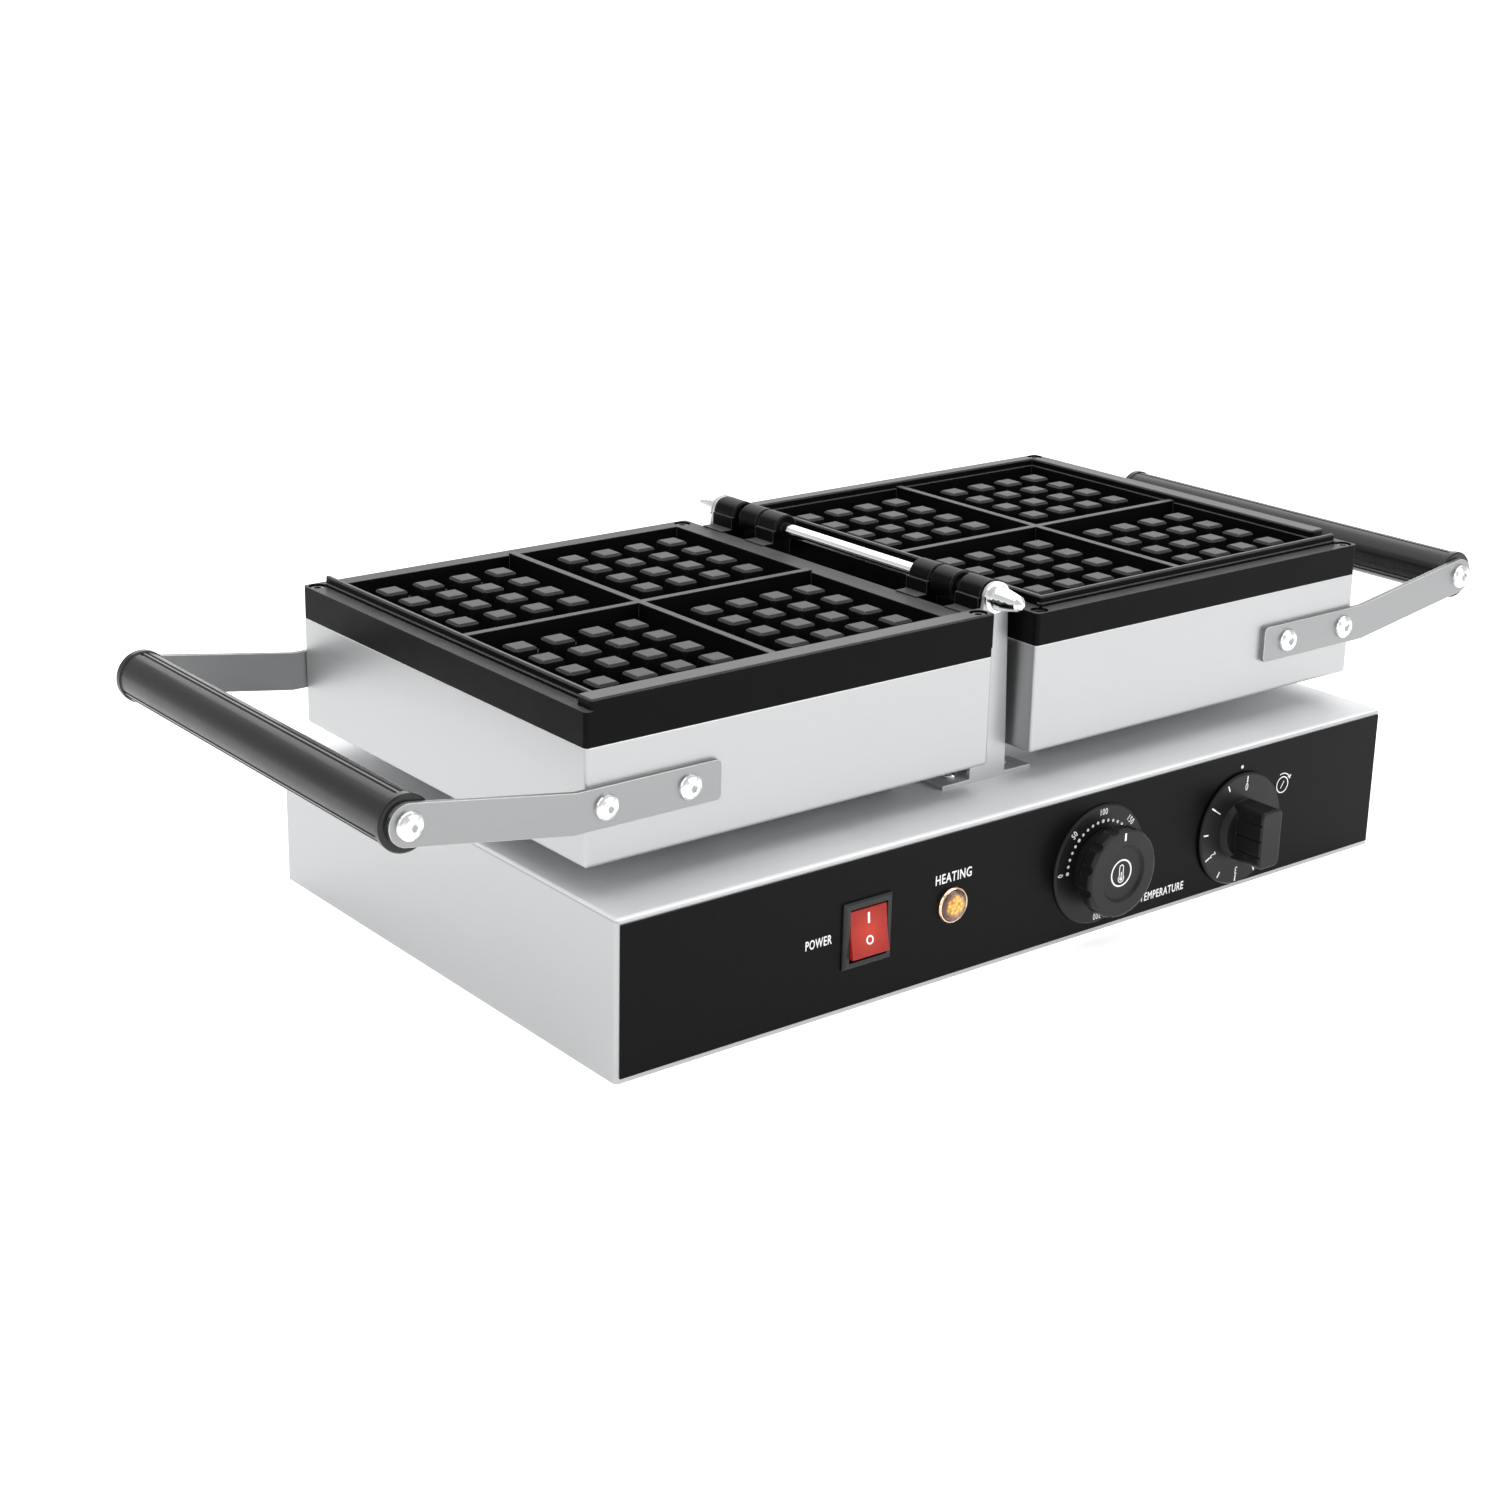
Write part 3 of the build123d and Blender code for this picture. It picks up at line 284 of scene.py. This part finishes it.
def black_panel(name):
    """Printed black front foil: smooth, slightly glossy, with faint dust and wipe marks."""
    shader = Shader(name, Specular_IOR_Level=0.075)
    wipes = shader.noise(1.0, 4.0, 0.6, (9.0, 9.0, 55.0))
    shader.drive("Roughness", shader.between(wipes, 0.27, 0.36))
    dust = shader.noise(2600.0, 2.0, 0.7)
    shader.drive("Base Color", shader.mixed(
        shader.between(dust, 0.0, 1.0, 0.6, 0.8), (0.0024, 0.0024, 0.0026), (0.012, 0.012, 0.013),
    ))
    shader.drive("Normal", shader.bump(shader.noise(850.0, 2.0), 0.000004, shader.soft_edges(0.0002)))
    return shader.material


def moulded(name, colour, roughness, grain, edge=0.0004, coat=0.0):
    """Moulded plastic with a fine spark-eroded texture and slightly paler edges, a painted highlight."""
    shader = Shader(name, Specular_IOR_Level=0.25, Coat_Weight=coat, Coat_Roughness=0.12)
    soft = shader.soft_edges(edge)
    edge_glint = shader.edge_wear(soft)
    texture = shader.noise(2400.0, 3.0, 0.65)
    tone = shader.noise(45.0, 3.0)
    # Edges are painted paler along the edge mask: a painted highlight.
    paler = tuple(min(1.0, c * 2.1 + 0.012) for c in colour)
    amount = shader.math("MULTIPLY", edge_glint, shader.between(tone, 0.35, 0.85))
    shader.drive("Base Color", shader.mixed(amount, colour, paler))
    shader.drive("Roughness", shader.between(tone, roughness - 0.05, roughness + 0.06))
    shader.drive("Normal", shader.bump(texture, grain, soft))
    return shader.material


def lit_rocker(name):
    """Red see-through rocker, lit from inside: brighter towards its middle."""
    shader = Shader(name, Specular_IOR_Level=0.2, Coat_Weight=0.12, Coat_Roughness=0.12)
    cloud = shader.noise(190.0, 2.0)
    glow = shader.nearness(SWITCH, 1.0, 14.0)
    shader.drive("Base Color", shader.mixed(cloud, (0.27, 0.010, 0.007), (0.33, 0.016, 0.010)))
    shader.drive("Roughness", shader.between(cloud, 0.26, 0.38))
    shader.drive("Emission Color", shader.mixed(glow, (0.12, 0.0, 0.0), (1.0, 0.13, 0.03)))
    shader.surface.inputs["Emission Strength"].default_value = 0.26
    shader.drive("Normal", shader.bump(shader.noise(1200.0), 0.000006, shader.soft_edges(0.0005)))
    return shader.material


def amber_glass(name):
    """Amber jewel lens: a bright faceted middle inside a dark brown ring."""
    shader = Shader(name, Transmission_Weight=0.25, Coat_Weight=0.8, Coat_Roughness=0.03)
    facets = shader.cells(420.0)
    middle = shader.nearness(LAMP, 5.2, 7.2)
    split = shader.between(facets, 0.0, 1.0, 0.15, 0.75)
    jewel = shader.mixed(split, (1.0, 0.62, 0.05), (0.40, 0.12, 0.004))
    ring = (0.060, 0.012, 0.003)
    for socket in ("Base Color", "Emission Color"):
        shader.drive(socket, shader.mixed(middle, ring, jewel))
    shader.surface.inputs["Emission Strength"].default_value = 0.28
    shader.drive("Roughness", shader.between(facets, 0.08, 0.20, 0.0, 1.0))
    shader.drive("Normal", shader.bump(facets, 0.0006))
    return shader.material


def mineral_wool(name):
    """Loose pale insulation."""
    shader = Shader(name, Roughness=0.95)
    fibres = shader.noise(500.0, 6.0, 0.75, (1.0, 1.0, 3.0))
    shader.drive("Base Color", shader.mixed(fibres, (0.42, 0.36, 0.22), (0.78, 0.72, 0.52)))
    shader.drive("Normal", shader.bump(fibres, 0.0008))
    return shader.material


def printed_white(name):
    """White screen print: nearly even, with tiny thin spots."""
    shader = Shader(name, Specular_IOR_Level=0.3)
    spots = shader.noise(2500.0, 3.0, 0.7)
    shader.drive("Base Color", shader.mixed(
        shader.between(spots, 0.0, 1.0, 0.25, 0.5), (0.55, 0.55, 0.55), (0.84, 0.84, 0.83),
    ))
    shader.drive("Roughness", shader.between(spots, 0.42, 0.55))
    return shader.material


def ceramic(name):
    """Off-white glazed insulator."""
    shader = Shader(name)
    tone = shader.noise(120.0)
    shader.drive("Base Color", shader.mixed(tone, (0.66, 0.63, 0.56), (0.80, 0.78, 0.72)))
    shader.drive("Roughness", shader.between(tone, 0.30, 0.45))
    return shader.material


FINISHES = {
    # The stainless has its level faces painted 1.8 times paler: a painted sheen.
    "stainless": sheet_metal("stainless", 0.470, 0.46, 0.000010, level_sheen_gain=1.8),
    "tray_steel": sheet_metal("tray_steel", 0.455, 0.42, 0.000012, edge=0.0012),
    "arm_steel": sheet_metal("arm_steel", 0.295, 0.38, 0.000012),
    "bracket_steel": sheet_metal("bracket_steel", 0.55, 0.38, 0.000012),
    "inner_steel": galvanised("inner_steel", 0.55),
    "chrome": polished_metal("chrome", (0.86, 0.87, 0.88), 0.12),
    "amber_ring": polished_metal("amber_ring", (0.92, 0.66, 0.48), 0.14),
    "dark_screw": polished_metal("dark_screw", (0.16, 0.16, 0.16), 0.30),
    "plate_black": cast_plate("plate_black"),
    "panel_black": black_panel("panel_black"),
    "grip_black": moulded("grip_black", (0.010, 0.010, 0.011), 0.27, 0.000005, coat=0.15),
    "knob_black": moulded("knob_black", (0.007, 0.007, 0.008), 0.40, 0.000016),
    "switch_black": moulded("switch_black", (0.020, 0.021, 0.022), 0.34, 0.000008, edge=0.0008),
    "gland_black": moulded("gland_black", (0.016, 0.016, 0.017), 0.45, 0.000012),
    "rubber": moulded("rubber", (0.013, 0.013, 0.013), 0.75, 0.000030),
    "rocker_red": lit_rocker("rocker_red"),
    "amber_lens": amber_glass("amber_lens"),
    "white_insulator": ceramic("white_insulator"),
    "mineral_wool": mineral_wool("mineral_wool"),
}
PRINT = printed_white("printed_white")

NODE_FINISH = {
    "stainless": ["base_housing", "bottom_plate", "rest_bar_front", "rest_bar_rear"],
    "panel_black": ["front_panel"],
    "bracket_steel": ["bracket_front", "bracket_rear"],
    "rubber": ["feet"],
    "chrome": [
        "hinge_rod", "hinge_washers", "cap_nuts", "bracket_screws", "bracket_nuts",
        "foot_screws", "foot_nuts", "bottom_screws",
    ],
    "gland_black": ["cable_gland", "gland_nut"],
    "white_insulator": ["terminal_block"],
    "switch_black": ["switch_body", "lamp_body"],
    "rocker_red": ["power_rocker"],
    "amber_lens": ["lamp_lens"],
    "amber_ring": ["lamp_bezel"],
    "knob_black": ["thermostat_dial", "thermostat_knob", "timer_knob"],
    "inner_steel": ["thermostat_body", "thermostat_shaft", "timer_body", "timer_shaft"],
}
HEAD_FINISH = {
    "tray_steel": ["shell"],
    "plate_black": ["plate"],
    "arm_steel": ["arm_front", "arm_rear"],
    "grip_black": ["grip"],
    "chrome": ["arm_screws", "arm_nuts", "grip_screws"],
    "dark_screw": ["plate_screws", "plate_nuts"],
    "inner_steel": ["element", "clamp_plate", "grip_rod"],
    "mineral_wool": ["insulation"],
}
for finish, names in HEAD_FINISH.items():
    listed = NODE_FINISH.setdefault(finish, [])
    listed.extend(f"{side}_{name}" for side in ("left", "right") for name in names)


def paint_nodes():
    """Gives every CAD node its finish."""
    for finish, names in NODE_FINISH.items():
        for name in names:
            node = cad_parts[name]
            node.data.materials.clear()
            node.data.materials.append(FINISHES[finish])


# ---------------------------------------------------------------- flat marks
# Millimetres that a printed mark stands proud, and a capital's height as a share of the letter size.
PRINT_THICK = 0.06
CAPITAL_SHARE = 0.73
LETTER_SPACING = 1.12


class Marks:
    """Flat white marks drawn in millimetres on a plane: u to the right, v up."""

    def __init__(self):
        self.mesh = bmesh.new()

    def polygon(self, outline):
        """A thin raised shape with this outline, listed counter-clockwise."""
        back = [self.mesh.verts.new((u, v, 0.0)) for u, v in outline]
        front = [self.mesh.verts.new((u, v, PRINT_THICK)) for u, v in outline]
        self.mesh.faces.new(front)
        self.mesh.faces.new(list(reversed(back)))
        for i in range(len(outline)):
            j = (i + 1) % len(outline)
            self.mesh.faces.new((back[i], back[j], front[j], front[i]))

    def disc(self, u, v, radius, steps=24):
        self.polygon([
            (u + radius * math.cos(math.tau * i / steps), v + radius * math.sin(math.tau * i / steps))
            for i in range(steps)
        ])

    def arc(self, u, v, radius, width, start=0.0, end=360.0, steps=48):
        """A band along a circle; a full circle is closed."""
        closed = end - start >= 360.0
        count = steps if closed else steps + 1
        rings = []
        for r, depth in ((radius - width / 2, 0), (radius + width / 2, 0),
                         (radius + width / 2, PRINT_THICK), (radius - width / 2, PRINT_THICK)):
            angles = [math.radians(start + (end - start) * i / steps) for i in range(count)]
            rings.append([
                self.mesh.verts.new((u + r * math.cos(a), v + r * math.sin(a), depth)) for a in angles
            ])
        last = count if closed else count - 1
        for i in range(last):
            j = (i + 1) % count
            for k in range(4):
                m = (k + 1) % 4
                self.mesh.faces.new((rings[k][i], rings[k][j], rings[m][j], rings[m][i]))
        if not closed:
            self.mesh.faces.new([ring[0] for ring in rings])
            self.mesh.faces.new([ring[-1] for ring in reversed(rings)])

    def bar(self, start, end, width):
        """A straight stroke between two points."""
        along = (Vector(end) - Vector(start)).normalized()
        across = Vector((-along.y, along.x)) * width / 2
        a, b = Vector(start), Vector(end)
        self.polygon([tuple(a - across), tuple(b - across), tuple(b + across), tuple(a + across)])

    def words(self, text, u, v, height, angle=0.0, narrow=0.66, heavy=0.13):
        """Letters centred on a point, with capitals of this height, turned by an angle in degrees.

        narrow scales their width, and heavy thickens their strokes, in millimetres."""
        curve = bpy.data.curves.new("letters", "FONT")
        curve.body = text
        curve.align_x = "CENTER"
        curve.align_y = "CENTER"
        curve.size = height / CAPITAL_SHARE
        curve.offset = heavy
        curve.space_character = LETTER_SPACING
        curve.extrude = PRINT_THICK / 2
        curve.resolution_u = 4
        letters = bpy.data.objects.new("letters", curve)
        bpy.context.scene.collection.objects.link(letters)
        bpy.context.view_layer.update()
        solid_letters = letters.evaluated_get(bpy.context.evaluated_depsgraph_get())
        shape = bpy.data.meshes.new_from_object(solid_letters)
        place = (
            Matrix.Translation((u, v, PRINT_THICK / 2)) @ Matrix.Rotation(math.radians(angle), 4, "Z")
            @ Matrix.Diagonal((narrow, 1.0, 1.0, 1.0))
        )
        shape.transform(place)
        self.mesh.from_mesh(shape)
        bpy.data.objects.remove(letters)
        bpy.data.curves.remove(curve)
        bpy.data.meshes.remove(shape)

    def finish(self, name, body, slot, at, lean=0.0):
        """Puts the marks on a plane that faces -Y and leans back, their origin at a point in millimetres."""
        bmesh.ops.recalc_face_normals(self.mesh, faces=self.mesh.faces)
        data = bpy.data.meshes.new(name)
        self.mesh.to_mesh(data)
        self.mesh.free()
        piece = bpy.data.objects.new(name, data)
        bpy.context.scene.collection.objects.link(piece)
        upright = Matrix.Translation(Vector(at) * MM) @ Matrix.Rotation(math.radians(90.0 - lean), 4, "X")
        data.transform(upright @ Matrix.Scale(MM, 4))
        data.materials.append(PRINT)
        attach(piece, body)


def polar(radius, angle):
    """A point at this radius and angle in degrees, counter-clockwise from the right."""
    return radius * math.cos(math.radians(angle)), radius * math.sin(math.radians(angle))


def panel_print():
    """Words by the switch, the lamp and the thermostat, and the timer's fixed dot and clock sign."""
    marks = Marks()
    marks.words("POWER", SWITCH.x - 33.0, SWITCH.z + 0.2, 5.4)
    marks.words("HEATING", LAMP.x + 1.0, LAMP.z + 16.0, 5.8, narrow=0.74)
    marks.words("TEMPERATURE", THERMOSTAT.x + 56.0, THERMOSTAT.z - 31.0, 5.2, narrow=0.72)
    marks.disc(TIMER.x, TIMER.z + 38.4, 1.1)
    sign = (TIMER.x + 38.0, TIMER.z + 19.3)
    sign_radius = 5.0
    arrow_radius = 7.2
    arrow_end = 38.0
    thin = 0.6
    marks.arc(*sign, sign_radius, 0.7)
    marks.bar((sign[0] - 1.4, sign[1] - 2.2), (sign[0] + 1.4, sign[1] + 2.2), thin)
    marks.arc(*sign, arrow_radius, thin, start=arrow_end, end=112.0, steps=14)
    across, up = polar(arrow_radius, arrow_end)
    tip = (sign[0] + across, sign[1] + up)
    marks.polygon([(tip[0] + 0.8, tip[1] - 1.9), (tip[0] + 1.9, tip[1] + 0.9), (tip[0] - 1.3, tip[1] + 0.2)])
    marks.finish("panel_print", "base", "panel_black", (0, PANEL_FACE, 0))


def rocker_marks():
    """The stroke for on, on the upper half of the rocker, and the ring for off, on the lower half."""
    stroke = Marks()
    stroke.bar((0, -3.1), (0, 3.1), 1.5)
    place, lean = face_at("power_rocker", SWITCH.x, SWITCH.z + 7.7)
    stroke.finish("rocker_stroke", "power_rocker", "rocker_red", place, lean)
    ring = Marks()
    ring.arc(0, 0, 2.1, 1.0)
    place, lean = face_at("power_rocker", SWITCH.x, SWITCH.z - 4.6)
    ring.finish("rocker_ring", "power_rocker", "rocker_red", place, lean)


def thermostat_scale():
    """Dots and numbers from 0 to 300 on the thermostat's fixed ring, 0 at the left."""
    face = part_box("thermostat_dial")[0].y / MM
    dot_circle = 26.4
    number_circle = 31.8
    degrees_per_unit = 0.9
    marks = Marks()
    for value in range(0, 301, 10):
        angle = 180.0 - degrees_per_unit * value
        numbered = value % 50 == 0
        marks.disc(*polar(dot_circle, angle), 1.15 if numbered else 0.95, 16)
        if numbered:
            place = polar(number_circle, angle)
            marks.words(str(value), *place, 3.9, angle - 90.0, narrow=0.75, heavy=0.07)
    marks.finish("thermostat_scale", "base", "knob_black", (THERMOSTAT.x, face, THERMOSTAT.z))


def thermostat_marks():
    """Pointer line at the edge of the thermostat knob, and a thermometer in a circle in its dish."""
    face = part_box("thermostat_knob")[0].y / MM
    pointer = Marks()
    pointer.bar((0, 20.0), (0, 24.6), 1.5)
    pointer.finish("thermostat_pointer", "thermostat_knob", "knob_black", (THERMOSTAT.x, face, THERMOSTAT.z))
    sign = Marks()
    bulb_height = -3.4
    stem_top = 3.4
    stem_foot = -1.8
    stem_half = 1.5
    thin = 0.6
    sign.arc(0, 0, 7.8, 1.0)
    sign.arc(0, stem_top, stem_half, thin, start=0.0, end=180.0, steps=12)
    sign.bar((-stem_half, stem_top), (-stem_half, stem_foot), thin)
    sign.bar((stem_half, stem_foot), (stem_half, stem_top), thin)
    sign.arc(0, bulb_height, 2.2, thin, start=133.0, end=407.0, steps=26)
    sign.disc(0, bulb_height, 1.25)
    sign.bar((0, bulb_height), (0, 0.6), 0.7)
    dish, lean = face_at("thermostat_knob", THERMOSTAT.x, THERMOSTAT.z)
    sign.finish("thermometer_sign", "thermostat_knob", "knob_black", dish, lean)


def timer_scale():
    """Lines and numbers from 0 to 4 on the timer's turning skirt."""
    marks = Marks()
    first_angle = 86.0
    angle_per_half = 30.0
    line_outer = 33.2
    line_inner = 29.2
    number_circle = 26.2
    for half in range(10):
        angle = first_angle + angle_per_half * half
        marks.bar(polar(line_outer, angle), polar(line_inner, angle), 1.0)
        if half % 2 == 0:
            place = polar(number_circle, angle)
            marks.words(str(half // 2), *place, 4.9, angle - 90.0, narrow=0.7, heavy=0.08)
    skirt, lean = face_at("timer_knob", TIMER.x, TIMER.z + 30.0)
    marks.finish("timer_scale", "timer_knob", "knob_black", (TIMER.x, skirt.y, TIMER.z), lean)


paint_nodes()
panel_print()
rocker_marks()
thermostat_scale()
thermostat_marks()
timer_scale()


# ---------------------------------------------------------------- studio
def make_floor():
    """A plain pale floor that runs to the horizon; its own glow keeps shadows faint."""
    data = bpy.data.meshes.new("floor")
    mesh = bmesh.new()
    bmesh.ops.create_grid(mesh, x_segments=8, y_segments=8, size=60.0)
    mesh.to_mesh(data)
    mesh.free()
    floor = bpy.data.objects.new("floor", data)
    bpy.context.scene.collection.objects.link(floor)
    shader = Shader("floor", Roughness=0.9, Specular_IOR_Level=0.1)
    shader.drive("Base Color", shader.mixed(shader.noise(2.0), grey(0.90), grey(0.92)))
    shader.surface.inputs["Emission Color"].default_value = (1.0, 1.0, 1.0, 1.0)
    shader.surface.inputs["Emission Strength"].default_value = 0.50
    data.materials.append(shader.material)


def make_world():
    """Light from a white room, brightest at the horizon."""
    world = bpy.data.worlds.new("studio")
    bpy.context.scene.world = world
    world.use_nodes = True
    tree = world.node_tree
    background = tree.nodes["Background"]
    coordinates = tree.nodes.new("ShaderNodeTexCoord")
    split = tree.nodes.new("ShaderNodeSeparateXYZ")
    tree.links.new(coordinates.outputs["Generated"], split.inputs["Vector"])
    rise = tree.nodes.new("ShaderNodeMapRange")
    rise.inputs["From Min"].default_value = 0.0
    rise.inputs["From Max"].default_value = 0.25
    rise.inputs["To Min"].default_value = 1.0
    rise.inputs["To Max"].default_value = 0.7
    tree.links.new(split.outputs["Z"], rise.inputs["Value"])
    tree.links.new(rise.outputs["Result"], background.inputs["Strength"])
    background.inputs["Color"].default_value = (1.0, 1.0, 1.0, 1.0)


def area_light(name, place, target, size, power):
    """A rectangular soft light that looks at a point; it lights and reflects, but isn't itself seen."""
    light = bpy.data.lights.new(name, "AREA")
    light.shape = "RECTANGLE"
    light.size = size[0]
    light.size_y = size[1]
    light.energy = power
    lamp = bpy.data.objects.new(name, light)
    bpy.context.scene.collection.objects.link(lamp)
    lamp.visible_camera = False
    lamp.location = place
    lamp.rotation_euler = (Vector(target) - Vector(place)).to_track_quat("-Z", "Y").to_euler()


def make_lights():
    """Large softboxes overhead and behind on the right, a smaller one in front, a weak one on the left."""
    middle = (0.0, 0.0, 0.1)
    area_light("overhead", (0.1, 0.25, 1.9), middle, (3.4, 2.6), 32.0)
    area_light("back_right", (1.3, 1.9, 1.25), middle, (3.4, 1.8), 27.0)
    area_light("front_right", (0.9, -1.9, 0.9), middle, (1.4, 1.2), 12.0)
    area_light("left", (-1.9, -0.3, 1.0), middle, (1.0, 1.2), 5.0)


# The camera's direction in degrees, its lens and sensor in millimetres, its shift as shares of the
# picture's width, and where the part's origin lies from it: to the right, up and ahead.
AZIMUTH = -37.01
ELEVATION = 18.04
ROLL = 0.71
LENS = 61.542
SENSOR = 36.0
SHIFT = Vector((0.05, -0.03333))
ORIGIN_FROM_CAMERA = Vector((102.26, -101.96, 1587.89)) * MM


def make_camera():
    """The camera of the product view: front left, a little above the plates."""
    azimuth = math.radians(AZIMUTH)
    elevation = math.radians(ELEVATION)
    roll = math.radians(ROLL)
    level_reach = math.cos(elevation)
    back = Vector((math.sin(azimuth) * level_reach, -math.cos(azimuth) * level_reach, math.sin(elevation)))
    level_right = (-back).cross(Vector((0, 0, 1))).normalized()
    level_up = level_right.cross(-back)
    right = level_right * math.cos(roll) + level_up * math.sin(roll)
    up = level_up * math.cos(roll) - level_right * math.sin(roll)
    aside = ORIGIN_FROM_CAMERA
    place = back * aside.z - right * aside.x - up * aside.y
    camera = bpy.data.cameras.new("camera")
    camera.sensor_width = SENSOR
    camera.lens = LENS
    camera.shift_x = SHIFT.x
    camera.shift_y = SHIFT.y
    camera.clip_start = 0.01
    camera.clip_end = 100.0
    holder = bpy.data.objects.new("camera", camera)
    bpy.context.scene.collection.objects.link(holder)
    turn = Matrix((right, up, back)).transposed().to_4x4()
    holder.matrix_world = Matrix.Translation(place) @ turn
    bpy.context.scene.camera = holder


make_floor()
make_world()
make_lights()
make_camera()
bpy.context.scene.view_settings.view_transform = "Standard"
